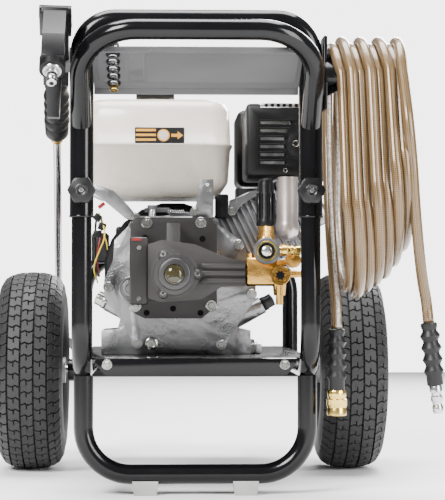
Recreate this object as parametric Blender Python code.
"""Petrol pressure washer: tube cart, horizontal-shaft engine, triplex pump, spray gun and a hung hose.

Metres, +Z up. The operator stands at -Y and faces the pump. Positions inside the functions are
measured from the plane of the two front uprights, and the empty "front_plane" moves them all so
that the origin is under the middle of the machine.
"""

import math

import bmesh
import bpy
from mathutils import Matrix, Quaternion, Vector

# Running and touching gaps
GAP = 0.0003
RUN_GAP = 0.0005

# Placement of the whole machine
DEPTH_TO_CENTRE = 0.336

# Frame tube, 1-1/8 inch, and the larger handle tube that slips over it
TUBE_R = 0.0143
HANDLE_R = 0.017
SLEEVE_BORE_R = 0.0149
UPRIGHT_X = 0.164
UPRIGHT_TOP = 0.505
SLEEVE_BOTTOM = 0.402
RAIL_Z = 0.1815
RAIL_BEND = 0.070
RAIL_END_Y = 0.826
HANDLE_TOP_Z = 0.683
HANDLE_BEND = 0.048
GRIP_TOP_Y = -0.124
GRIP_TOP_Z = 0.653
GRIP_ROOT_Z = 0.529
GRIP_BEND = 0.080
REAR_HOOP_Y = 0.810
REAR_HOOP_TOP = 0.366
REAR_HOOP_BOTTOM = 0.150
FOOT_Y = 0.052
FOOT_LOOP_X = 0.163
FOOT_BEND = 0.068
FOOT_H = 0.0157
FOOT_W = 0.038
FOOT_X = 0.073
KNOB_X = 0.163
KNOB_Z = 0.4386
KNOB_R = 0.020
STUD_R = 0.0038

# Wheels and axle
WHEEL_R = 0.165
WHEEL_X = 0.265
TYRE_W = 0.111
TYRE_SIDES = 24
RIM_R = 0.078
RIM_W = 0.074
AXLE_R = 0.008
AXLE_TUBE_R = 0.012
AXLE_Y = 0.470
AXLE_TUBE_HALF = 0.2065

# Engine plate
PLATE_TOP = 0.1991
PLATE_T = 0.003
PLATE_FRONT = 0.020
PLATE_BACK = 0.685
PLATE_HALF = 0.172

# Engine
CRANK_X = -0.031
CRANK_Z = 0.331
COVER_FRONT = 0.190
COVER_BACK = 0.222
CASE_BACK = 0.400
FAN_BACK = 0.505
CRANK_R = 0.0125
CYL_TILT = math.radians(25.0)
CYL_Y = 0.325
CYL_HALF = 0.058
CYL_FIRST = 0.098
CYL_LAST = 0.212
FIN_PITCH = 0.0095
FIN_T = 0.0045

# Pump
PUMP_X = -0.031
PUMP_Z = 0.321
PUMP_FLANGE_FRONT = 0.172
PUMP_COVER_Y = 0.080
UNLOADER_X = 0.105
UNLOADER_Y = 0.090

# Nozzle tray
TRAY_HALF = 0.1464
TRAY_T = 0.0015
TRAY_FRONT = (-0.105, 0.630)
TRAY_REAR = (-0.001, 0.5865)
NOZZLE_X = -0.1175
NOZZLE_COUNT = 5
NOZZLE_PITCH = 0.0200
NOZZLE_FIRST = 0.0165
NOZZLE_HOLE_R = 0.0085

# Spray gun and lance, hung on the left with the barrel line sloping back and down
GUN_TOP = Vector((-0.199, -0.050, 0.700))
GUN_SLOPE = (0.8502, -0.5265)
GUN_DRIFT = -0.0405
LANCE_R = 0.006
LANCE_GRIP_R = 0.0195

# Hose
HOSE_R = 0.008
COIL_X0 = 0.197
COIL_X1 = 0.284
COIL_Y0 = -0.100
COIL_Y1 = 0.152
COIL_Z0 = 0.288
COIL_Z1 = 0.678
COIL_WALL = 0.034

MATERIALS = {}


def material(name, colour, roughness, metallic=0.0):
    """The named Principled material, made on first use."""
    if name not in MATERIALS:
        made = bpy.data.materials.new(name)
        made.use_nodes = True
        shader = made.node_tree.nodes["Principled BSDF"]
        shader.inputs["Base Color"].default_value = (*colour, 1.0)
        shader.inputs["Roughness"].default_value = roughness
        shader.inputs["Metallic"].default_value = metallic
        made.diffuse_color = (*colour, 1.0)
        MATERIALS[name] = made
    return MATERIALS[name]


def clear_scene():
    for old in list(bpy.data.objects):
        bpy.data.objects.remove(old)


def front_plane():
    """The empty that every piece hangs on."""
    found = bpy.data.objects.get("front_plane")
    if found is None:
        found = bpy.data.objects.new("front_plane", None)
        bpy.context.scene.collection.objects.link(found)
        found.location = (0.0, -DEPTH_TO_CENTRE, 0.0)
    return found


def place(bm, name, finish, origin=(0.0, 0.0, 0.0)):
    """Makes the object, with its origin at the given point, from a bmesh in front-plane positions."""
    bmesh.ops.recalc_face_normals(bm, faces=bm.faces)
    bmesh.ops.translate(bm, verts=bm.verts, vec=-Vector(origin))
    mesh = bpy.data.meshes.new(name)
    bm.to_mesh(mesh)
    bm.free()
    mesh.materials.append(finish)
    mesh.shade_smooth()
    mesh.set_sharp_from_angle(angle=math.radians(35.0))
    made = bpy.data.objects.new(name, mesh)
    bpy.context.scene.collection.objects.link(made)
    made.parent = front_plane()
    made.location = origin
    return made


def fuse(name, finish, adds, cuts=(), origin=(0.0, 0.0, 0.0)):
    """One closed solid: the first shape, with the others joined to it and the cuts taken away."""
    scene = bpy.context.scene
    made = []
    for bm in (*adds, *cuts):
        bmesh.ops.recalc_face_normals(bm, faces=bm.faces)
        mesh = bpy.data.meshes.new("helper")
        bm.to_mesh(mesh)
        bm.free()
        helper = bpy.data.objects.new("helper", mesh)
        scene.collection.objects.link(helper)
        made.append(helper)
    base = made[0]
    for index, helper in enumerate(made[1:], start=1):
        modifier = base.modifiers.new("join", "BOOLEAN")
        modifier.object = helper
        modifier.operation = "UNION" if index < len(adds) else "DIFFERENCE"
        modifier.solver = "EXACT"
    graph = bpy.context.evaluated_depsgraph_get()
    whole = bmesh.new()
    whole.from_mesh(base.evaluated_get(graph).to_mesh())
    bmesh.ops.remove_doubles(whole, verts=whole.verts, dist=0.00001)
    bmesh.ops.dissolve_degenerate(whole, edges=whole.edges, dist=0.00001)
    for helper in made:
        mesh = helper.data
        bpy.data.objects.remove(helper)
        bpy.data.meshes.remove(mesh)
    return place(whole, name, finish, origin)


def block(low, high):
    """A box between two corners."""
    bm = bmesh.new()
    bmesh.ops.create_cube(bm, size=1.0)
    size = [b - a for a, b in zip(low, high)]
    middle = [(a + b) / 2 for a, b in zip(low, high)]
    bmesh.ops.scale(bm, verts=bm.verts, vec=size)
    bmesh.ops.translate(bm, verts=bm.verts, vec=middle)
    return bm


def soft_block(low, high, radius, segments=2):
    """A box with all its edges rounded."""
    bm = block(low, high)
    bmesh.ops.bevel(bm, geom=bm.edges[:], offset=radius, segments=segments, profile=0.5, affect="EDGES")
    return bm


def rod(start, end, radius, end_radius=None, sides=16):
    """A cylinder, or a cone frustum, between two points."""
    start = Vector(start)
    along = Vector(end) - start
    bm = bmesh.new()
    turn = Vector((0.0, 0.0, 1.0)).rotation_difference(along).to_matrix().to_4x4()
    bmesh.ops.create_cone(
        bm,
        cap_ends=True,
        segments=sides,
        radius1=radius,
        radius2=radius if end_radius is None else end_radius,
        depth=along.length,
        matrix=Matrix.Translation(start + along / 2) @ turn,
    )
    return bm


def turned(profile, start, along, sides=24, ring=False):
    """A shape turned about a line. The profile lists (radius, distance along the line)."""
    bm = bmesh.new()
    turn = Vector((0.0, 0.0, 1.0)).rotation_difference(Vector(along)).to_matrix()
    loops = []
    for radius, height in profile:
        count = sides if radius > 1e-6 else 1
        loop = []
        for step in range(count):
            angle = 2 * math.pi * (step + 0.5) / sides
            point = Vector((radius * math.cos(angle), radius * math.sin(angle), height))
            loop.append(bm.verts.new(Vector(start) + turn @ point))
        loops.append(loop)
    pairs = list(zip(loops, loops[1:]))
    if ring:
        pairs.append((loops[-1], loops[0]))
    for near, far in pairs:
        for step in range(sides):
            following = (step + 1) % sides
            corners = [near[step % len(near)], near[following % len(near)]]
            corners += [far[following % len(far)], far[step % len(far)]]
            bm.faces.new(list(dict.fromkeys(corners)))
    if not ring:
        for loop in (loops[0], loops[-1]):
            if len(loop) > 1:
                bm.faces.new(loop)
    return bm


def extruded(outline, axis, low, high):
    """A flat outline pulled along X, Y or Z. Its points are the other two coordinates, in order."""
    bm = bmesh.new()
    order = {"x": (2, 0, 1), "y": (0, 2, 1), "z": (0, 1, 2)}[axis]
    verts = []
    for point in outline:
        flat = (point[0], point[1], low)
        verts.append(bm.verts.new([flat[i] for i in order]))
    face = bm.faces.new(verts)
    grown = bmesh.ops.extrude_face_region(bm, geom=[face])
    moved = [item for item in grown["geom"] if isinstance(item, bmesh.types.BMVert)]
    step = [0.0, 0.0, 0.0]
    step["xyz".index(axis)] = high - low
    bmesh.ops.translate(bm, verts=moved, vec=step)
    return bm


def rounded(corners, radius, steps=4):
    """A closed 2D outline with each corner rounded."""
    count = len(corners)
    points = []
    for index in range(count):
        here = Vector((*corners[index], 0.0))
        before = (Vector((*corners[index - 1], 0.0)) - here).normalized()
        after = (Vector((*corners[(index + 1) % count], 0.0)) - here).normalized()
        points += [(p.x, p.y) for p in bend(here, before, after, radius, steps)]
    return points


def bend(corner, before, after, radius, steps):
    """Points of the arc that rounds a corner between two unit directions that leave it."""
    half = before.angle(after) / 2
    reach = radius / math.tan(half)
    middle = (before + after).normalized()
    centre = corner + middle * (radius / math.sin(half))
    first = corner + before * reach - centre
    last = corner + after * reach - centre
    axis = first.cross(last)
    whole = first.angle(last)
    arc = []
    for step in range(steps + 1):
        arc.append(centre + Quaternion(axis, whole * step / steps) @ first)
    return arc


def bent_path(corners, radius, steps=5):
    """Straight runs between corners, with every inner corner bent round."""
    corners = [Vector(c) for c in corners]
    points = [corners[0]]
    for before, here, after in zip(corners, corners[1:], corners[2:]):
        points += bend(here, (before - here).normalized(), (after - here).normalized(), radius, steps)
    points.append(corners[-1])
    return points


def pipe(points, radius, sides=12):
    """A solid round tube that follows the points."""
    points = [Vector(p) for p in points]
    bm = bmesh.new()
    ahead = (points[1] - points[0]).normalized()
    side = ahead.orthogonal().normalized()
    loops = []
    for index, point in enumerate(points):
        before = (point - points[index - 1]).normalized() if index else ahead
        after = (points[index + 1] - point).normalized() if index + 1 < len(points) else before
        level = (before + after).normalized()
        side = (side - level * side.dot(level)).normalized()
        other = level.cross(side)
        loop = []
        for step in range(sides):
            angle = 2 * math.pi * step / sides
            offset = side * (radius * math.cos(angle)) + other * (radius * math.sin(angle))
            loop.append(bm.verts.new(point + offset))
        loops.append(loop)
    for near, far in zip(loops, loops[1:]):
        for step in range(sides):
            following = (step + 1) % sides
            bm.faces.new((near[step], near[following], far[following], far[step]))
    bm.faces.new(loops[0])
    bm.faces.new(loops[-1])
    return bm


BLACK_FRAME = ("frame_black", (0.012, 0.012, 0.013), 0.22, 0.0)
ZINC = ("zinc", (0.62, 0.62, 0.64), 0.32, 0.9)
CAST = ("cast_aluminium", (0.52, 0.53, 0.54), 0.45, 0.85)
RUBBER = ("black_rubber", (0.03, 0.03, 0.032), 0.8, 0.0)
BRASS = ("brass", (0.62, 0.42, 0.13), 0.3, 0.95)
PUMP_GREY = ("pump_grey", (0.085, 0.075, 0.072), 0.5, 0.3)
BLACK_PLASTIC = ("black_plastic", (0.02, 0.02, 0.021), 0.5, 0.0)
GREY_STEEL = ("tray_grey", (0.18, 0.18, 0.185), 0.4, 0.3)
RIM_STEEL = ("rim_steel", (0.5, 0.5, 0.52), 0.35, 0.8)
TANK_CREAM = ("tank_cream", (0.72, 0.68, 0.6), 0.3, 0.0)
MUFFLER_BLACK = ("muffler_black", (0.018, 0.018, 0.019), 0.5, 0.2)
FOOT_GREY = ("foot_grey", (0.3, 0.3, 0.31), 0.75, 0.0)
HOSE_SKIN = ("hose_braid", (0.36, 0.27, 0.12), 0.3, 0.2)
STEEL = ("steel", (0.55, 0.55, 0.56), 0.3, 0.95)


def rail_path(x):
    """One bent tube: upright at the front, then back along the floor of the cart."""
    return bent_path([(x, 0, UPRIGHT_TOP), (x, 0, RAIL_Z), (x, RAIL_END_Y, RAIL_Z)], RAIL_BEND, 6)


def frame_rails():
    for side, name in ((-1, "frame_rail_left"), (1, "frame_rail_right")):
        x = side * UPRIGHT_X
        bore = rod(
            (side * KNOB_X, -0.03, KNOB_Z), (side * KNOB_X, 0.004, KNOB_Z), STUD_R + RUN_GAP, sides=12
        )
        cross = rod((x - 0.03, AXLE_Y, WHEEL_R), (x + 0.03, AXLE_Y, WHEEL_R), AXLE_TUBE_R + GAP, sides=16)
        fuse(name, material(*BLACK_FRAME), [pipe(rail_path(x), TUBE_R)], [bore, cross])


def rear_hoop():
    x = UPRIGHT_X + 2 * TUBE_R + GAP
    corners = [(-x, REAR_HOOP_Y, REAR_HOOP_BOTTOM), (-x, REAR_HOOP_Y, REAR_HOOP_TOP)]
    corners += [(x, REAR_HOOP_Y, REAR_HOOP_TOP), (x, REAR_HOOP_Y, REAR_HOOP_BOTTOM)]
    place(pipe(bent_path(corners, 0.07, 5), TUBE_R), "rear_hoop", material(*BLACK_FRAME))


def foot_loop():
    """The U-shaped front stand, coped to the undersides of the rail bends."""
    top = RAIL_Z - 0.008
    bar = FOOT_H + TUBE_R
    corners = [(-FOOT_LOOP_X, FOOT_Y, top), (-FOOT_LOOP_X, FOOT_Y, bar)]
    corners += [(FOOT_LOOP_X, FOOT_Y, bar), (FOOT_LOOP_X, FOOT_Y, top)]
    loop = pipe(bent_path(corners, FOOT_BEND, 6), TUBE_R)
    copes = [pipe(rail_path(side * UPRIGHT_X), TUBE_R + GAP * 2) for side in (-1, 1)]
    fuse("foot_loop", material(*BLACK_FRAME), [loop], copes)


def rubber_feet():
    """Two moulded saddles under the bottom bar, hollowed to its round."""
    half = FOOT_W / 2
    for side, name in ((-1, "rubber_foot_left"), (1, "rubber_foot_right")):
        x = side * FOOT_X
        outline = [(x - half * 0.86, 0.0), (x + half * 0.86, 0.0), (x + half, 0.021), (x - half, 0.021)]
        pad = extruded(outline, "y", FOOT_Y - 0.013, FOOT_Y + 0.013)
        bar = rod((x - 0.04, FOOT_Y, FOOT_H + TUBE_R), (x + 0.04, FOOT_Y, FOOT_H + TUBE_R), TUBE_R + GAP)
        fuse(name, material(*FOOT_GREY), [pad], [bar])


def handle_hoop():
    """The tall hoop. Each leg has a blind bore from below that takes the top of an upright."""
    x = UPRIGHT_X
    corners = [(-x, 0, SLEEVE_BOTTOM), (-x, 0, HANDLE_TOP_Z), (x, 0, HANDLE_TOP_Z), (x, 0, SLEEVE_BOTTOM)]
    hoop = pipe(bent_path(corners, HANDLE_BEND, 5), HANDLE_R, 14)
    cuts = []
    for side in (-1, 1):
        low = (side * x, 0, SLEEVE_BOTTOM - 0.01)
        cuts.append(rod(low, (side * x, 0, UPRIGHT_TOP + 0.002), SLEEVE_BORE_R + 0.0004, sides=14))
        stud_x = side * KNOB_X
        cuts.append(rod((stud_x, -0.03, KNOB_Z), (stud_x, 0.0, KNOB_Z), STUD_R + RUN_GAP, sides=12))
    fuse("handle_hoop", material(*BLACK_FRAME), [hoop], cuts)


def grip_path():
    x = UPRIGHT_X
    corners = [(-x, 0, GRIP_ROOT_Z), (-x, GRIP_TOP_Y, GRIP_TOP_Z)]
    corners += [(x, GRIP_TOP_Y, GRIP_TOP_Z), (x, 0, GRIP_ROOT_Z)]
    return bent_path(corners, GRIP_BEND, 5)


def front_grip_hoop():
    """The grab bar: a hoop leaning 45 degrees forward, coped to the fronts of the handle legs."""
    x = UPRIGHT_X
    hoop = pipe(grip_path(), TUBE_R, 12)
    legs = [rod((side * x, 0, 0.45), (side * x, 0, 0.65), HANDLE_R + GAP * 2, sides=16) for side in (-1, 1)]
    fuse("front_grip_hoop", material(*BLACK_FRAME), [hoop], legs)


def clamp_knobs():
    """Six-lobed knobs whose studs pass into the sleeve and the upright."""
    for side, name in ((-1, "clamp_knob_left"), (1, "clamp_knob_right")):
        x = side * KNOB_X
        outline = []
        for step in range(24):
            angle = 2 * math.pi * step / 24
            radius = KNOB_R * (0.93 + 0.07 * math.cos(6 * angle))
            outline.append((x + radius * math.cos(angle), KNOB_Z + radius * math.sin(angle)))
        face = -HANDLE_R - 0.003
        disc = extruded(outline, "y", face - 0.013, face)
        hub = rod((x, face - 0.017, KNOB_Z), (x, face + 0.002, KNOB_Z), 0.0085, sides=12)
        stud = rod((x, face - 0.015, KNOB_Z), (x, -0.004, KNOB_Z), STUD_R, sides=12)
        fuse(name, material(*BLACK_PLASTIC), [disc, hub, stud], origin=(x, face, KNOB_Z))


def tray_point(distance, lift=0.0):
    """(Y, Z) on the sloping tray: distance back from its front edge, lifted off its underside."""
    run = Vector(TRAY_REAR) - Vector(TRAY_FRONT)
    along = run.normalized()
    up = Vector((-along.y, along.x))
    return Vector(TRAY_FRONT) + along * distance + up * lift


def tray_up():
    up = tray_point(0, 1) - tray_point(0, 0)
    return Vector((0.0, up.x, up.y))


def nozzle_panel():
    """Pressed sheet between the handle legs, with a folded rear lip and a hole for each nozzle."""
    length = (Vector(TRAY_REAR) - Vector(TRAY_FRONT)).length
    outline = [tray_point(0), tray_point(length), tray_point(length) + Vector((0, -0.009))]
    outline += [tray_point(length) + Vector((TRAY_T, -0.009)), tray_point(length + TRAY_T, TRAY_T)]
    outline += [tray_point(-TRAY_T, TRAY_T), tray_point(-TRAY_T, -0.008), tray_point(0, -0.008)]
    sheet = extruded([tuple(p) for p in outline], "x", -TRAY_HALF, TRAY_HALF)
    cuts = []
    for index in range(NOZZLE_COUNT):
        y, z = tray_point(NOZZLE_FIRST + index * NOZZLE_PITCH)
        base = Vector((NOZZLE_X, y, z))
        cuts.append(rod(base - tray_up() * 0.01, base + tray_up() * 0.01, NOZZLE_HOLE_R, sides=14))
    for side in (-1, 1):
        leg = pipe([(side * UPRIGHT_X, 0, 0.5), (side * UPRIGHT_X, 0, 0.66)], HANDLE_R + GAP, 16)
        cuts.append(leg)
    grip = pipe(grip_path(), TUBE_R + 2 * GAP, 12)
    cuts.append(grip)
    fuse("nozzle_panel", material(*GREY_STEEL), [sheet], cuts)


def nozzles():
    """Quick-change tips standing in the tray: stem below, collar and body above."""
    for index in range(NOZZLE_COUNT):
        y, z = tray_point(NOZZLE_FIRST + index * NOZZLE_PITCH)
        base = Vector((NOZZLE_X, y, z))
        profile = [(0, -0.0125), (0.0056, -0.0120), (0.0056, -0.006), (0.0046, -0.004)]
        profile += [(0.0060, -0.0025), (0.0060, TRAY_T + 0.0014), (0.0092, TRAY_T + 0.0015)]
        profile += [(0.0092, 0.014), (0.0060, 0.0185), (0, 0.0185)]
        finish = material(*(BRASS if index == NOZZLE_COUNT - 1 else STEEL))
        tip = turned(profile, base, tray_up(), sides=10)
        place(tip, f"nozzle_{index + 1}", finish, tuple(base))


def hose_hook():
    """Bracket on the right leg: a clamp plate and a round-backed arm that carries the hose."""
    root = UPRIGHT_X + HANDLE_R + GAP
    plate = soft_block((root, -0.014, 0.556), (root + 0.006, 0.030, 0.662), 0.0015, 1)
    arm = []
    for step in range(9):
        angle = math.radians(20 + 140 * step / 8)
        arm.append((0.028 + 0.062 * math.cos(angle), 0.578 + 0.062 * math.sin(angle)))
    inner = [(y + (0.028 - y) * 0.08, z - 0.006) for y, z in reversed(arm)]
    saddle = extruded(arm + inner, "x", root + 0.002, 0.300)
    outline = [(root + 0.001, 0.575), (root + 0.001, 0.590), (0.290, 0.638), (0.290, 0.630)]
    brace = extruded(outline, "y", 0.024, 0.032)
    fuse("hose_hook", material(*GREY_STEEL), [saddle, plate, brace])


def axle_and_tube():
    bore = rod((-0.25, AXLE_Y, 0.165), (0.25, AXLE_Y, 0.165), AXLE_R + RUN_GAP, sides=16)
    low = (-AXLE_TUBE_HALF, AXLE_Y, WHEEL_R)
    tube = rod(low, (AXLE_TUBE_HALF, AXLE_Y, WHEEL_R), AXLE_TUBE_R, sides=16)
    collars = []
    for side in (-1, 1):
        near = (side * (AXLE_TUBE_HALF - 0.010), AXLE_Y, WHEEL_R)
        collars.append(rod(near, (side * AXLE_TUBE_HALF, AXLE_Y, WHEEL_R), 0.019, sides=14))
    fuse("axle_tube", material(*BLACK_FRAME), [tube, *collars], [bore])
    end = WHEEL_X + 0.050
    profile = [(0, -end), (AXLE_R * 0.85, -end), (AXLE_R, -end + 0.002), (AXLE_R, end - 0.002)]
    profile += [(AXLE_R * 0.85, end), (0, end)]
    rod_mesh = turned(profile, (0, AXLE_Y, WHEEL_R), (1, 0, 0), sides=16)
    place(rod_mesh, "axle", material(*ZINC))


def wheels():
    """Pneumatic tyres, open inside like the real ones, on two-flanged steel rims."""
    half = TYRE_W / 2
    seat = RIM_W / 2
    bead = RIM_R + 0.0006
    tread = WHEEL_R / math.cos(math.pi / TYRE_SIDES)
    outer = [(bead, -seat + 0.003), (0.089, -seat + 0.003), (0.100, -half + 0.006), (0.124, -half)]
    outer += [(0.146, -half + 0.008), (0.159, -half + 0.020), (tread, -0.020), (tread, 0.020)]
    outer += [(0.159, half - 0.020), (0.146, half - 0.008), (0.124, half), (0.100, half - 0.006)]
    outer += [(0.089, seat - 0.003), (bead, seat - 0.003)]
    inner = [(bead, seat - 0.010), (0.110, half - 0.010), (0.150, 0.026)]
    inner += [(0.150, -0.026), (0.110, -half + 0.010), (bead, -seat + 0.010)]
    rim = [
        (RIM_R + 0.008, -seat), (RIM_R + 0.008, -seat + 0.002),
        (RIM_R, -seat + 0.0026), (RIM_R, seat - 0.0026),
    ]
    rim += [
        (RIM_R + 0.008, seat - 0.002), (RIM_R + 0.008, seat),
        (RIM_R - 0.003, seat), (RIM_R - 0.003, 0.008),
    ]
    rim += [(0.052, 0.002), (0.022, 0.012), (0.022, 0.040), (AXLE_R + RUN_GAP, 0.040)]
    rim += [(AXLE_R + RUN_GAP, -0.054), (0.022, -0.054), (0.022, 0.008)]
    rim += [(0.052, -0.001), (RIM_R - 0.003, 0.004), (RIM_R - 0.003, -seat)]
    for side, word in ((-1, "left"), (1, "right")):
        hub = (side * WHEEL_X, AXLE_Y, WHEEL_R)
        tyre = turned(outer + inner, hub, (side, 0, 0), sides=TYRE_SIDES, ring=True)
        place(tyre, f"tyre_{word}", material(*RUBBER), hub)
        wheel = turned(rim, hub, (side, 0, 0), sides=16, ring=True)
        place(wheel, f"rim_{word}", material(*RIM_STEEL), hub)


def engine_plate():
    """Flat plate on the rails with its front edge folded down and cut back at the ends."""
    half = PLATE_HALF
    fold = 0.145
    outline = [(-fold, PLATE_FRONT), (fold, PLATE_FRONT), (fold + 0.0005, 0.055), (half, 0.085)]
    outline += [(half, PLATE_BACK), (-half, PLATE_BACK), (-half, 0.085), (-fold - 0.0005, 0.055)]
    sheet = extruded(outline, "z", PLATE_TOP - PLATE_T, PLATE_TOP)
    low = PLATE_TOP - 0.024
    front = [
        (-fold, PLATE_TOP - 0.001), (-fold, PLATE_TOP - 0.008),
        (-fold + 0.014, low), (fold - 0.014, low),
    ]
    front += [(fold, PLATE_TOP - 0.008), (fold, PLATE_TOP - 0.001)]
    flange = extruded(front, "y", PLATE_FRONT - 0.001, PLATE_FRONT + PLATE_T)
    back = block((-fold, PLATE_BACK - PLATE_T, low), (fold, PLATE_BACK + 0.001, PLATE_TOP - 0.001))
    fuse("engine_plate", material(*BLACK_FRAME), [sheet, flange, back])


def cylinder_frame():
    """From the inclined cylinder's own axes (along, depth, across) to the machine's."""
    turn = Matrix.Rotation(-CYL_TILT, 4, "Y")
    return Matrix.Translation((CRANK_X, 0.0, CRANK_Z)) @ turn


def inclined(bm):
    bmesh.ops.transform(bm, matrix=cylinder_frame(), verts=bm.verts)
    return bm


def crankcase():
    """Cast case, open at the front, with the oil necks and the feet cast on."""
    face = CYL_FIRST - 0.009
    low = cylinder_frame() @ Vector((face, 0, -0.055))
    high = cylinder_frame() @ Vector((face, 0, 0.052))
    outline = [(-0.094, 0.405), (-0.122, 0.375), (-0.123, 0.344), (-0.126, 0.325), (-0.117, 0.305)]
    outline += [
        (-0.111, 0.285), (-0.111, 0.262), (-0.118, 0.238), (-0.143, 0.236), (-0.143, PLATE_TOP + GAP),
    ]
    outline += [(0.089, PLATE_TOP + GAP), (0.089, 0.236), (0.068, 0.240), (0.076, 0.285)]
    outline += [(low.x, low.z), (high.x, high.z), (-0.010, 0.420)]
    case = extruded(outline, "y", COVER_BACK + GAP, CASE_BACK)
    left = rod((-0.100, 0.245, 0.262), (-0.134, 0.245, 0.2795), 0.0135)
    right = rod((0.055, 0.245, 0.246), (0.108, 0.245, 0.2755), 0.0135)
    room = rod((CRANK_X, 0.15, CRANK_Z), (CRANK_X, 0.380, CRANK_Z), 0.060, sides=24)
    journal = rod((CRANK_X, 0.30, CRANK_Z), (CRANK_X, 0.45, CRANK_Z), CRANK_R + RUN_GAP * 1.6, sides=20)
    fuse("crankcase", material(*CAST), [case, left, right], [room, journal])


def crankcase_cover():
    """Front cover: a flat casting with a raised rim, bolt bosses and a bore for the shaft."""
    outline = [(-0.0935, 0.4043), (-0.122, 0.3751), (-0.1242, 0.3444), (-0.138, 0.3137), (-0.138, 0.2891)]
    outline += [(-0.1073, 0.2445), (-0.0904, 0.2080), (0.0440, 0.2060), (0.0560, 0.2292), (0.0955, 0.2850)]
    outline += [(0.0955, 0.3060), (0.0755, 0.3751), (0.0294, 0.4043)]
    plate = extruded(outline, "y", COVER_FRONT + 0.006, COVER_BACK)
    pad = rod((CRANK_X, COVER_FRONT, 0.331), (CRANK_X, COVER_BACK - 0.001, 0.331), 0.072, sides=20)
    bolts = [
        (-0.131, 0.303), (-0.092, 0.396), (-0.087, 0.216),
        (0.042, 0.214), (0.069, 0.368), (0.089, 0.292),
    ]
    bosses = [
        rod((x, COVER_FRONT - 0.002, z), (x, COVER_BACK - 0.004, z), 0.0085, sides=10)
        for x, z in bolts
    ]
    bore = rod((CRANK_X, 0.1, CRANK_Z), (CRANK_X, 0.3, CRANK_Z), CRANK_R + RUN_GAP * 1.6, sides=20)
    fuse("crankcase_cover", material(*CAST), [plate, pad, *bosses], [bore])


def cylinder():
    """Finned barrel and head on the inclined axis."""
    first = CYL_FIRST - 0.0085
    core = block((first, CYL_Y - 0.046, -0.046), (CYL_LAST, CYL_Y + 0.046, 0.046))
    fins = []
    count = int((CYL_LAST - CYL_FIRST) / FIN_PITCH)
    for index in range(count):
        low = CYL_FIRST + 0.001 + index * FIN_PITCH
        half = CYL_HALF - (0.006 if index < 3 else 0.0)
        fins.append(block((low, CYL_Y - CYL_HALF, -half), (low + FIN_T, CYL_Y + CYL_HALF - 0.0015, half)))
    bore = rod((first - 0.02, CYL_Y, 0), (first + 0.10, CYL_Y, 0), 0.040, sides=16)
    for bm in (core, bore, *fins):
        inclined(bm)
    fuse("cylinder", material(*CAST), [core, *fins], [bore])


def valve_cover():
    low = (CYL_LAST + GAP, CYL_Y - 0.045, -0.036)
    cover = soft_block(low, (CYL_LAST + 0.050, CYL_Y + 0.045, 0.034), 0.008, 2)
    place(inclined(cover), "valve_cover", material(*CAST))


def lofted(sections):
    """A closed skin through outlines that all have the same number of points."""
    bm = bmesh.new()
    loops = [[bm.verts.new(point) for point in section] for section in sections]
    count = len(loops[0])
    for near, far in zip(loops, loops[1:]):
        for step in range(count):
            following = (step + 1) % count
            bm.faces.new((near[step], near[following], far[following], far[step]))
    bm.faces.new(loops[0])
    bm.faces.new(loops[-1])
    return bm


def tank_section(z, inset, radius):
    x0, x1, y0, y1 = -0.180, 0.062, 0.250, 0.460
    corners = [
        (x0 + inset, y0 + inset), (x1 - inset, y0 + inset),
        (x1 - inset, y1 - inset), (x0 + inset, y1 - inset),
    ]
    return [(x, y, z) for x, y in rounded(corners, radius, 2)]


def fuel_tank():
    """Hollow tank with a filler neck. Its lower half tapers in, and a seam runs round its middle."""
    shape = [(0.447, 0.030, 0.026), (0.453, 0.018, 0.028), (0.470, 0.006, 0.032), (0.5255, 0.002, 0.034)]
    shape += [(0.526, 0.0, 0.036), (0.530, 0.0, 0.036), (0.5305, 0.002, 0.034), (0.582, 0.004, 0.034)]
    shape += [(0.594, 0.010, 0.030), (0.601, 0.024, 0.026)]
    wall = 0.003
    outer = lofted([tank_section(*row) for row in shape])
    room = [(0.450, 0.034, 0.022), (0.470, 0.011, 0.027), (0.580, 0.009, 0.029), (0.598, 0.029, 0.021)]
    inner = lofted([tank_section(*row) for row in room])
    centre = (-0.060, 0.350)
    neck = rod((*centre, 0.590), (*centre, 0.608), 0.024, sides=20)
    bore = rod((*centre, 0.585), (*centre, 0.615), 0.024 - wall, sides=20)
    fuse("fuel_tank", material(*TANK_CREAM), [outer, neck], [inner, bore])
    profile = [(0, 0.600), (0.020, 0.600), (0.020, 0.6085), (0.030, 0.6085), (0.0315, 0.611)]
    profile += [(0.0315, 0.622), (0.028, 0.6255), (0, 0.6255)]
    cap = turned(profile, (*centre, 0.0), (0, 0, 1), sides=20)
    place(cap, "fuel_cap", material(*BLACK_PLASTIC), (*centre, 0.6085))


def tank_bracket():
    """Cast arms from the top of the cover up to the tank."""
    left = [
        (-0.104, 0.4080), (-0.082, 0.4055), (-0.100, 0.428),
        (-0.124, 0.452), (-0.152, 0.462), (-0.155, 0.450),
    ]
    right = [
        (-0.004, 0.4055), (0.026, 0.4055), (0.0305, 0.415),
        (0.0305, 0.470), (0.0095, 0.470), (0.006, 0.440),
    ]
    bar = [(-0.088, 0.4055), (0.004, 0.4055), (0.004, 0.4125), (-0.088, 0.4125)]
    plates = [extruded(left, "y", 0.205, 0.212), extruded(right, "y", 0.205, 0.212)]
    link = extruded(bar, "y", 0.2055, 0.2115)
    ear = block((0.011, 0.2110, 0.450), (0.029, 0.2485, 0.4545))
    fuse("tank_bracket", material(*CAST), [link, *plates, ear])


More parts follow.
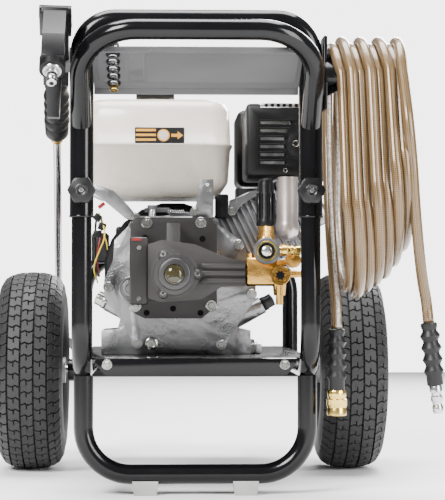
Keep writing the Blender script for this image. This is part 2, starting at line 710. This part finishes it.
def muffler():
    """Pressed box with a row of louvre slots and a round boss."""
    box = soft_block((0.083, 0.232, 0.4765), (0.209, 0.385, 0.591), 0.006, 2)
    boss = rod((0.1655, 0.229, 0.526), (0.1655, 0.24, 0.526), 0.019, sides=20)
    cuts = []
    for index in range(6):
        z = 0.5615 - index * 0.0126
        reach = 0.160 if index == 0 else 0.147
        cuts.append(block((0.105, 0.22, z - 0.0033), (reach, 0.238, z + 0.0033)))
    fuse("muffler", material(*MUFFLER_BLACK), [box, boss], cuts)


def muffler_guard():
    side = block((0.2150, 0.232, 0.478), (0.2165, 0.385, 0.589))
    front = block((0.2096, 0.232, 0.478), (0.2165, 0.2338, 0.589))
    cuts = []
    for index in range(6):
        z = 0.5635 - index * 0.0128
        cuts.append(block((0.2112, 0.225, z - 0.0042), (0.2142, 0.24, z + 0.0042)))
        cuts.append(block((0.2140, 0.262, z - 0.0042), (0.22, 0.355, z + 0.0042)))
    fuse("muffler_guard", material(*MUFFLER_BLACK), [side, front], cuts)


def exhaust_elbow():
    y = CYL_Y - CYL_HALF - 0.0195
    profile = [
        (0, -0.019), (0.010, -0.0165), (0.0165, -0.0095), (0.019, 0.0), (0.0178, 0.008), (0.017, 0.012),
    ]
    profile += [(0.017, 0.0811), (0, 0.0811)]
    place(turned(profile, (0.148, y, 0.395), (0, 0, 1), sides=16), "exhaust_elbow", material(*STEEL))


def engine_rear():
    """Air cleaner, carburettor, fan housing with its recoil starter, and the small controls."""
    box = soft_block((0.075, 0.415, 0.4705), (0.205, 0.530, 0.600), 0.012, 2)
    place(box, "air_cleaner", material(*BLACK_PLASTIC))
    body = soft_block((0.072, CYL_Y + CYL_HALF + GAP, 0.424), (0.116, 0.413, 0.4702), 0.004, 1)
    place(body, "carburettor", material(*CAST))
    centre = (CRANK_X, 0.0, CRANK_Z)
    wall = [(0.030, CASE_BACK + 0.002), (0.110, CASE_BACK + 0.002), (0.114, CASE_BACK + 0.008)]
    wall += [(0.114, 0.480), (0.104, 0.492), (0.070, 0.498), (0.066, FAN_BACK), (0, FAN_BACK)]
    inside = [(0.0, FAN_BACK - 0.005), (0.062, FAN_BACK - 0.005), (0.066, 0.490), (0.100, 0.486)]
    inside += [(0.109, 0.476), (0.109, CASE_BACK + 0.006), (0.030, CASE_BACK + 0.006)]
    shell = turned(wall, centre, (0, 1, 0), sides=20)
    room = turned([(0, CASE_BACK + 0.006), *reversed(inside[:-1])], centre, (0, 1, 0), sides=20)
    mouth = rod((CRANK_X, 0.39, CRANK_Z), (CRANK_X, 0.42, CRANK_Z), 0.030, sides=20)
    pod = soft_block((-0.166, 0.430, 0.345), (-0.138, 0.480, 0.395), 0.003, 1)
    guide = rod((-0.090, FAN_BACK - 0.020, 0.400), (-0.090, FAN_BACK + 0.003, 0.400), 0.011, sides=14)
    eye = rod((-0.090, FAN_BACK - 0.04, 0.400), (-0.090, FAN_BACK + 0.01, 0.400), 0.0035, sides=10)
    fuse("fan_housing", material(*BLACK_PLASTIC), [shell, pod, guide], [room, mouth, eye])
    grip = soft_block((-0.128, FAN_BACK + 0.0075, 0.391), (-0.052, FAN_BACK + 0.0245, 0.409), 0.005, 2)
    stem = rod((-0.090, FAN_BACK + 0.0035, 0.400), (-0.090, FAN_BACK + 0.010, 0.400), 0.008, sides=14)
    fuse("starter_handle", material(*BLACK_PLASTIC), [grip, stem], origin=(-0.090, FAN_BACK + 0.0035, 0.400))
    rocker = [(-0.1705, 0.356), (-0.1740, 0.3555), (-0.1710, 0.370), (-0.1740, 0.3845)]
    rocker += [(-0.1705, 0.384), (-0.1683, 0.370)]
    switch = extruded(rocker, "y", 0.442, 0.468)
    place(switch, "engine_switch", material("switch_red", (0.5, 0.03, 0.02), 0.4), (-0.1683, 0.455, 0.370))


def throttle_lever():
    pivot = Vector((0.094, 0.4135, 0.444))
    hub = rod(pivot + Vector((0, 0.0003, 0)), pivot + Vector((0, 0.004, 0)), 0.006, sides=14)
    arm = extruded([(0.094, 0.4475), (0.0925, 0.4405), (0.136, 0.424), (0.138, 0.429)], "y", 0.4140, 0.4165)
    tab = soft_block((0.132, 0.4138, 0.421), (0.144, 0.4190, 0.433), 0.0015, 1)
    fuse("throttle_lever", material(*BLACK_PLASTIC), [hub, arm, tab], origin=tuple(pivot))


def spark_plug_cap():
    y = CYL_Y + CYL_HALF
    profile = [
        (0, 0.0), (0.009, 0.0), (0.0105, 0.002), (0.0105, 0.016),
        (0.0085, 0.020), (0.0085, 0.030), (0, 0.032),
    ]
    place(turned(profile, (0.160, y, 0.398), (0, 1, 0), sides=14), "spark_plug_cap", material(*RUBBER))


def oil_caps():
    """Screw caps in line with the two filler necks."""
    for name, mouth, foot, radius in (
        ("oil_cap_left", (-0.134, 0.245, 0.2795), (-0.100, 0.245, 0.262), 0.0125),
        ("oil_cap_right", (0.108, 0.245, 0.2755), (0.055, 0.245, 0.246), 0.0115),
    ):
        along = (Vector(mouth) - Vector(foot)).normalized()
        base = Vector(mouth) + along * GAP
        profile = [
            (0, 0), (radius, 0), (radius, 0.006), (radius * 0.9, 0.0075),
            (radius * 0.9, 0.018), (0, 0.020),
        ]
        cap = turned(profile, base, along, sides=16)
        place(cap, name, material(*(CAST if "left" in name else BLACK_PLASTIC)), tuple(base))


def crankshaft():
    """Stepped shaft with two webs and an offset pin, and the flywheel on its back end."""
    shaft_front = rod((CRANK_X, 0.130, CRANK_Z), (CRANK_X, 0.290, CRANK_Z), CRANK_R, sides=20)
    shaft_back = rod((CRANK_X, 0.360, CRANK_Z), (CRANK_X, 0.478, CRANK_Z), CRANK_R, sides=20)
    webs = [
        rod((CRANK_X, y, CRANK_Z), (CRANK_X, y + 0.018, CRANK_Z), 0.050, sides=24)
        for y in (0.285, 0.347)
    ]
    pin = rod((CRANK_X, 0.300, CRANK_Z + 0.032), (CRANK_X, 0.350, CRANK_Z + 0.032), 0.015, sides=16)
    origin = (CRANK_X, 0.200, CRANK_Z)
    fuse("crankshaft", material(*STEEL), [shaft_front, *webs, pin, shaft_back], origin=origin)
    profile = [(CRANK_R + GAP, 0.420), (0.088, 0.420), (0.088, 0.432), (0.095, 0.436), (0.095, 0.470)]
    profile += [(0.088, 0.470), (0.084, 0.440), (0.030, 0.440), (0.030, 0.474), (CRANK_R + GAP, 0.474)]
    wheel = turned(profile, (CRANK_X, 0, CRANK_Z), (0, 1, 0), sides=18, ring=True)
    place(wheel, "flywheel", material(*CAST), (CRANK_X, 0.447, CRANK_Z))


def pump_gearbox():
    """Cast gearbox: mounting flange, round bearing nose, clamp block and the plunger arm."""
    flange = [(-0.090, 0.262), (-0.075, 0.255), (0.012, 0.255), (0.035, 0.275), (0.035, 0.398)]
    flange += [(0.026, 0.409), (-0.088, 0.409), (-0.097, 0.400), (-0.097, 0.275)]
    back = COVER_FRONT - 0.0024
    plate = extruded(rounded(flange, 0.004, 2), "y", PUMP_FLANGE_FRONT, back)
    wedge = [(-0.070, 0.286), (-0.050, 0.280), (0.010, 0.284), (0.040, 0.303), (0.075, 0.304)]
    wedge += [(0.075, 0.342), (0.050, 0.345), (0.000, 0.366), (-0.050, 0.372), (-0.070, 0.366)]
    casting = extruded(wedge, "y", 0.098, PUMP_FLANGE_FRONT + 0.002)
    nose = rod((PUMP_X, PUMP_COVER_Y + 0.0033, PUMP_Z), (PUMP_X, 0.12, PUMP_Z), 0.036, sides=28)
    clamp = soft_block((-0.097, 0.108, 0.276), (-0.070, 0.150, 0.377), 0.002, 1)
    clamp_web = block((-0.096, 0.140, 0.284), (-0.069, PUMP_FLANGE_FRONT + 0.002, 0.370))
    ribs = [block((0.010, 0.092, z), (0.0745, 0.10, z + 0.006)) for z in (0.309, 0.320, 0.331)]
    ribs.append(block((-0.042, 0.112, 0.364), (-0.022, 0.174, 0.398)))
    bore = rod((CRANK_X, 0.120, CRANK_Z), (CRANK_X, 0.2, CRANK_Z), CRANK_R + RUN_GAP * 1.6, sides=20)
    adds = [casting, plate, nose, clamp_web, clamp, *ribs]
    fuse("pump_gearbox", material(*PUMP_GREY), adds, [bore])


def pump_cover():
    """Round bearing cover with a raised ring and the recess of the oil sight glass."""
    y = PUMP_COVER_Y + 0.003
    profile = [(0, y), (0.031, y), (0.031, y - 0.008), (0.0295, y - 0.0095), (0.0226, y - 0.0095)]
    profile += [(0.0220, y - 0.0160), (0.0150, y - 0.0160), (0.0146, y - 0.009), (0, y - 0.009)]
    place(turned(profile, (PUMP_X, 0, PUMP_Z), (0, 1, 0), sides=20), "pump_cover", material(*PUMP_GREY))


def pump_manifold():
    """Brass outlet head: valve block, inlet port, taper below, barb and thermal relief valve."""
    head = soft_block((0.0753, 0.096, 0.304), (0.122, 0.134, 0.346), 0.003, 1)
    port = rod((0.126, 0.084, 0.320), (0.126, 0.125, 0.320), 0.0135, sides=20)
    star = rod((0.126, 0.08, 0.320), (0.126, 0.092, 0.320), 0.0075, sides=8)
    taper = rod((0.126, 0.104, 0.315), (0.126, 0.104, 0.290), 0.0115, 0.0085, sides=16)
    tip = rod((0.126, 0.104, 0.292), (0.126, 0.104, 0.276), 0.0055, sides=12)
    barb = rod((0.118, 0.110, 0.322), (0.159, 0.110, 0.322), 0.0075, 0.0045, sides=12)
    cap = rod((0.084, 0.112, 0.340), (0.084, 0.112, 0.353), 0.008, sides=6)
    elbow = rod((0.116, 0.127, 0.336), (0.149, 0.127, 0.343), 0.0048, sides=8)
    relief = rod((0.148, 0.118, 0.343), (0.148, 0.141, 0.343), 0.0118, sides=14)
    fuse("pump_manifold", material(*BRASS), [head, port, taper, tip, barb, cap, elbow, relief], [star])


def unloader_valve():
    """Pressure regulator: ring port facing forward, hex body above and the outlet on its right."""
    x, y = UNLOADER_X, UNLOADER_Y
    port = rod((x, 0.066, 0.3555), (x, 0.0945, 0.3555), 0.019, sides=24)
    mouth = rod((x, 0.05, 0.3555), (x, 0.074, 0.3555), 0.0125, sides=20)
    neck = rod((x, y, 0.3602), (x, y, 0.3768), 0.0143, sides=14)
    nut = rod((x, y, 0.3690), (x, y, 0.3930), 0.0130, sides=6)
    outlet = rod((x + 0.015, 0.0845, 0.3575), (0.146, 0.0845, 0.3575), 0.0065, sides=12)
    ferrule = rod((0.1262, 0.0847, 0.3575), (0.138, 0.0847, 0.3575), 0.0085, sides=8)
    fuse("unloader_valve", material(*BRASS), [port, neck, nut, outlet, ferrule], [mouth])


def unloader_knob():
    low = 0.3933
    rows = [(0, low), (0.0145, low), (0.0145, low + 0.007), (0.0120, low + 0.014), (0.0120, low + 0.060)]
    rows += [(0.0095, low + 0.069), (0, low + 0.0707)]
    knob = turned(rows, (UNLOADER_X, UNLOADER_Y, 0), (0, 0, 1), sides=16)
    place(knob, "unloader_knob", material(*BLACK_PLASTIC), (UNLOADER_X, UNLOADER_Y, low))


def gun_frame():
    """From the gun's own axes (along the barrel, towards the handle, sideways) to the machine's."""
    along = Vector((GUN_DRIFT, *GUN_SLOPE)).normalized()
    across = Vector((0.0, GUN_SLOPE[1], -GUN_SLOPE[0]))
    across = (across - along * across.dot(along)).normalized()
    side = along.cross(across)
    turn = Matrix((along, across, side)).transposed().to_4x4()
    return Matrix.Translation(GUN_TOP) @ turn


def on_gun(bm):
    bmesh.ops.transform(bm, matrix=gun_frame(), verts=bm.verts)
    return bm


def gun_body():
    """Two-part moulded pistol with a closed hand guard and the hose plug under the grip."""
    barrel = [(0.030, -0.015), (0.045, -0.0235), (0.100, -0.020), (0.165, -0.018)]
    barrel += [(0.165, 0.018), (0.085, 0.020), (0.045, 0.024), (-0.008, 0.026), (-0.012, 0.016)]
    grip = [
        (-0.008, 0.016), (0.026, 0.010), (0.006, 0.085),
        (0.003, 0.125), (-0.034, 0.122), (-0.030, 0.080),
    ]
    guard = [(-0.010, 0.112), (0.006, 0.119), (0.090, 0.112), (0.118, 0.100), (0.134, 0.014), (0.148, 0.012)]
    guard += [(0.131, 0.104), (0.100, 0.124), (0.004, 0.131), (-0.010, 0.127)]
    parts = []
    for outline, half in ((barrel, 0.0185), (grip, 0.0155), (guard, 0.0085)):
        shape = extruded(rounded(outline, 0.0035, 2), "z", -half, half)
        parts.append(on_gun(shape))
    hump = [
        (0.003, 0.001), (0.0425, -0.0235), (0.076, -0.023),
        (0.060, 0.010), (0.000, 0.020), (-0.009, 0.015),
    ]
    back = on_gun(extruded(rounded(hump, 0.004, 2), "z", -0.0225, 0.0225))
    ring = on_gun(rod((-0.0140, 0.112, 0), (-0.0165, 0.134, 0), 0.0180, sides=20))
    plug = on_gun(rod((-0.0160, 0.130, 0), (-0.0195, 0.158, 0), 0.0085, 0.0060, sides=16))
    slot = on_gun(block((0.046, 0.004, -0.0065), (0.074, 0.040, 0.0065)))
    fuse("gun_body", material(*BLACK_PLASTIC), [*parts, back, ring, plug], [slot])


def gun_trigger():
    pivot = gun_frame() @ Vector((0.0640, 0.012, 0.0))
    blade = [(0.0580, 0.0085), (0.0700, 0.0085), (0.0715, 0.020), (0.0640, 0.050), (0.0660, 0.086)]
    blade += [(0.0600, 0.087), (0.0545, 0.055), (0.0560, 0.028)]
    shape = on_gun(extruded(rounded(blade, 0.0015, 2), "z", -0.0055, 0.0055))
    place(shape, "gun_trigger", material(*BLACK_PLASTIC), tuple(pivot))


def lance():
    """Ribbed front grip, steel tube and the quick-change socket on its end."""
    rows = [(0, 0.1653), (0.0165, 0.1653), (0.0175, 0.185)]
    for start in (0.205, 0.225, 0.245, 0.265):
        rows += [
            (LANCE_GRIP_R - 0.002, start), (LANCE_GRIP_R, start + 0.008),
            (LANCE_GRIP_R - 0.002, start + 0.016),
        ]
    rows += [(0.0185, 0.290), (0.0180, 0.300), (0.0100, 0.312), (LANCE_R, 0.3125), (LANCE_R, 0.985)]
    rows += [(0.0105, 0.986), (0.0115, 0.990), (0.0115, 1.018), (0.0095, 1.022), (0.0045, 1.022)]
    rows += [(0.0045, 1.012), (0, 1.012)]
    place(on_gun(turned(rows, (0, 0, 0), (1, 0, 0), sides=10)), "lance", material(*STEEL))


def lance_holder():
    """Ring on a lug from the left rail that holds the lance near its end."""
    ring = on_gun(turned(
        [
            (LANCE_R + 0.0012, 0.900), (LANCE_R + 0.0045, 0.900),
            (LANCE_R + 0.0045, 0.930), (LANCE_R + 0.0012, 0.930),
        ],
        (0, 0, 0),
        (1, 0, 0),
        sides=12,
        ring=True,
    ))
    centre = gun_frame() @ Vector((0.915, 0.0, 0.0))
    rail_side = -UPRIGHT_X - TUBE_R - GAP
    lug = [(rail_side, 0.178), (rail_side, 0.190), (centre.x + 0.006, centre.z + 0.003)]
    lug += [(centre.x + 0.008, centre.z - 0.009), (-0.205, 0.181)]
    arm = extruded(lug, "y", centre.y - 0.006, centre.y + 0.006)
    hole = on_gun(rod((0.86, 0, 0), (0.97, 0, 0), LANCE_R + 0.0012, sides=12))
    fuse("lance_holder", material(*BLACK_FRAME), [ring, arm], [hole])


def gun_hook():
    """Cradle on the left handle leg that the gun's barrel lies in."""
    outer = [(-0.004, 0.0215), (0.0235, 0.0215), (0.0235, -0.0215), (-0.004, -0.0215)]
    inner = [(-0.004, -0.0192), (0.0208, -0.0192), (0.0208, 0.0192), (-0.004, 0.0192)]
    cradle = extruded(outer + inner, "x", 0.100, 0.124)
    on_gun(cradle)
    lug = on_gun(block((0.102, -0.004, -0.0290), (0.122, 0.010, -0.0206)))
    start = gun_frame() @ Vector((0.112, 0.003, -0.0255))
    strut = pipe([start, (-UPRIGHT_X - HANDLE_R * 0.5, 0.008, start.z - 0.004)], 0.004, 8)
    leg = rod((-UPRIGHT_X, 0, 0.50), (-UPRIGHT_X, 0, 0.67), HANDLE_R + GAP * 2, sides=14)
    fuse("gun_hook", material(*GREY_STEEL), [cradle, lug, strut], [leg])


def hose_coil():
    """The hung turns of hose as one ring: a stadium outline with a stadium hole."""
    middle = (COIL_Y0 + COIL_Y1) / 2

    def stadium(shrink, steps=10):
        radius = (COIL_Y1 - COIL_Y0) / 2 - shrink
        points = []
        for centre_z, start in ((COIL_Z1 - shrink - radius, 0.0), (COIL_Z0 + shrink + radius, math.pi)):
            for step in range(steps + 1):
                angle = start + math.pi * step / steps
                points.append((middle + radius * math.cos(angle), centre_z + radius * math.sin(angle)))
        return points

    solid = extruded(stadium(0.0), "x", COIL_X0, COIL_X1)
    hole = extruded(stadium(COIL_WALL), "x", COIL_X0 - 0.01, COIL_X1 + 0.01)
    fuse("hose_coil", material(*HOSE_SKIN), [solid], [hole])


def smooth_route(points, count):
    """Evenly numbered points on a smooth curve through the given ones."""
    points = [Vector(p) for p in points]
    padded = [points[0] * 2 - points[1], *points, points[-1] * 2 - points[-2]]
    spans = len(points) - 1
    found = []
    for index in range(count + 1):
        place_on = index * spans / count
        span = min(int(place_on), spans - 1)
        t = place_on - span
        a, b, c, d = padded[span : span + 4]
        found.append(
            0.5 * (2 * b + (c - a) * t + (2 * a - 5 * b + 4 * c - d) * t**2 + (3 * b - a - 3 * c + d) * t**3)
        )
    return found


LEFT_TAIL = [
    (0.2085, 0.038, 0.2868), (0.2070, 0.039, 0.272), (0.2056, 0.040, 0.256), (0.2050, 0.040, 0.2413),
]
RIGHT_TAIL = [
    (0.2928, -0.083, 0.540),
    (0.2990, -0.079, 0.480),
    (0.3050, -0.069, 0.410),
    (0.3130, -0.050, 0.350),
    (0.3210, -0.026, 0.312),
    (0.3290, -0.0065, 0.2820),
    (0.3327, -0.005, 0.2508),
]
RIGHT_END_ALONG = (0.105, 0.0, -0.9945)


def hose_tails():
    """The two free lengths of hose that hang from the turns."""
    for name, route, count in (("hose_tail_left", LEFT_TAIL, 4), ("hose_tail_right", RIGHT_TAIL, 14)):
        curve = bpy.data.curves.new(name, "CURVE")
        curve.dimensions = "3D"
        curve.bevel_depth = HOSE_R
        curve.bevel_resolution = 3
        curve.use_fill_caps = True
        points = smooth_route(route, count)
        spline = curve.splines.new("POLY")
        spline.points.add(len(points) - 1)
        for target, point in zip(spline.points, points):
            target.co = (*point, 1.0)
        curve.materials.append(material(*HOSE_SKIN))
        tail = bpy.data.objects.new(name, curve)
        bpy.context.scene.collection.objects.link(tail)
        tail.parent = front_plane()


def hose_ends():
    """Ribbed bend restrictors, one with a coupler socket and one with a plug."""
    boot = [(0, 0.0), (0.0105, 0.0), (0.0115, 0.004)]
    for index in range(4):
        start = 0.010 + index * 0.022
        boot += [(0.0105, start), (0.0120, start + 0.016)]
    boot.append((0.0108, 0.098))
    left = [*boot, (0.0108, 0.101), (0.0135, 0.101), (0.0140, 0.112), (0.0150, 0.113), (0.0150, 0.122)]
    left += [(0.0138, 0.126), (0.0075, 0.126), (0.0075, 0.112), (0, 0.112)]
    right = [*boot, (0.0060, 0.099), (0.0060, 0.104), (0.0085, 0.106), (0.0085, 0.116), (0.0060, 0.119)]
    right += [(0.0072, 0.124), (0.0060, 0.131), (0.0035, 0.131), (0.0035, 0.120), (0, 0.120)]
    top_left = (0.2050, 0.040, 0.2410)
    end = turned(left, top_left, (0, 0, -1), sides=8)
    place(end, "hose_end_left", material(*RUBBER))
    top_right = Vector(RIGHT_TAIL[-1]) + Vector(RIGHT_END_ALONG) * 0.0009
    end = turned(right, top_right, RIGHT_END_ALONG, sides=8)
    place(end, "hose_end_right", material(*RUBBER))


def main():
    clear_scene()
    frame_rails()
    rear_hoop()
    foot_loop()
    rubber_feet()
    handle_hoop()
    front_grip_hoop()
    clamp_knobs()
    nozzle_panel()
    nozzles()
    hose_hook()
    axle_and_tube()
    wheels()
    engine_plate()
    crankcase()
    crankcase_cover()
    cylinder()
    valve_cover()
    fuel_tank()
    tank_bracket()
    muffler()
    muffler_guard()
    exhaust_elbow()
    engine_rear()
    throttle_lever()
    spark_plug_cap()
    oil_caps()
    crankshaft()
    pump_gearbox()
    pump_cover()
    pump_manifold()
    unloader_valve()
    unloader_knob()
    gun_body()
    gun_trigger()
    lance()
    lance_holder()
    gun_hook()
    hose_coil()
    hose_tails()
    hose_ends()


main()
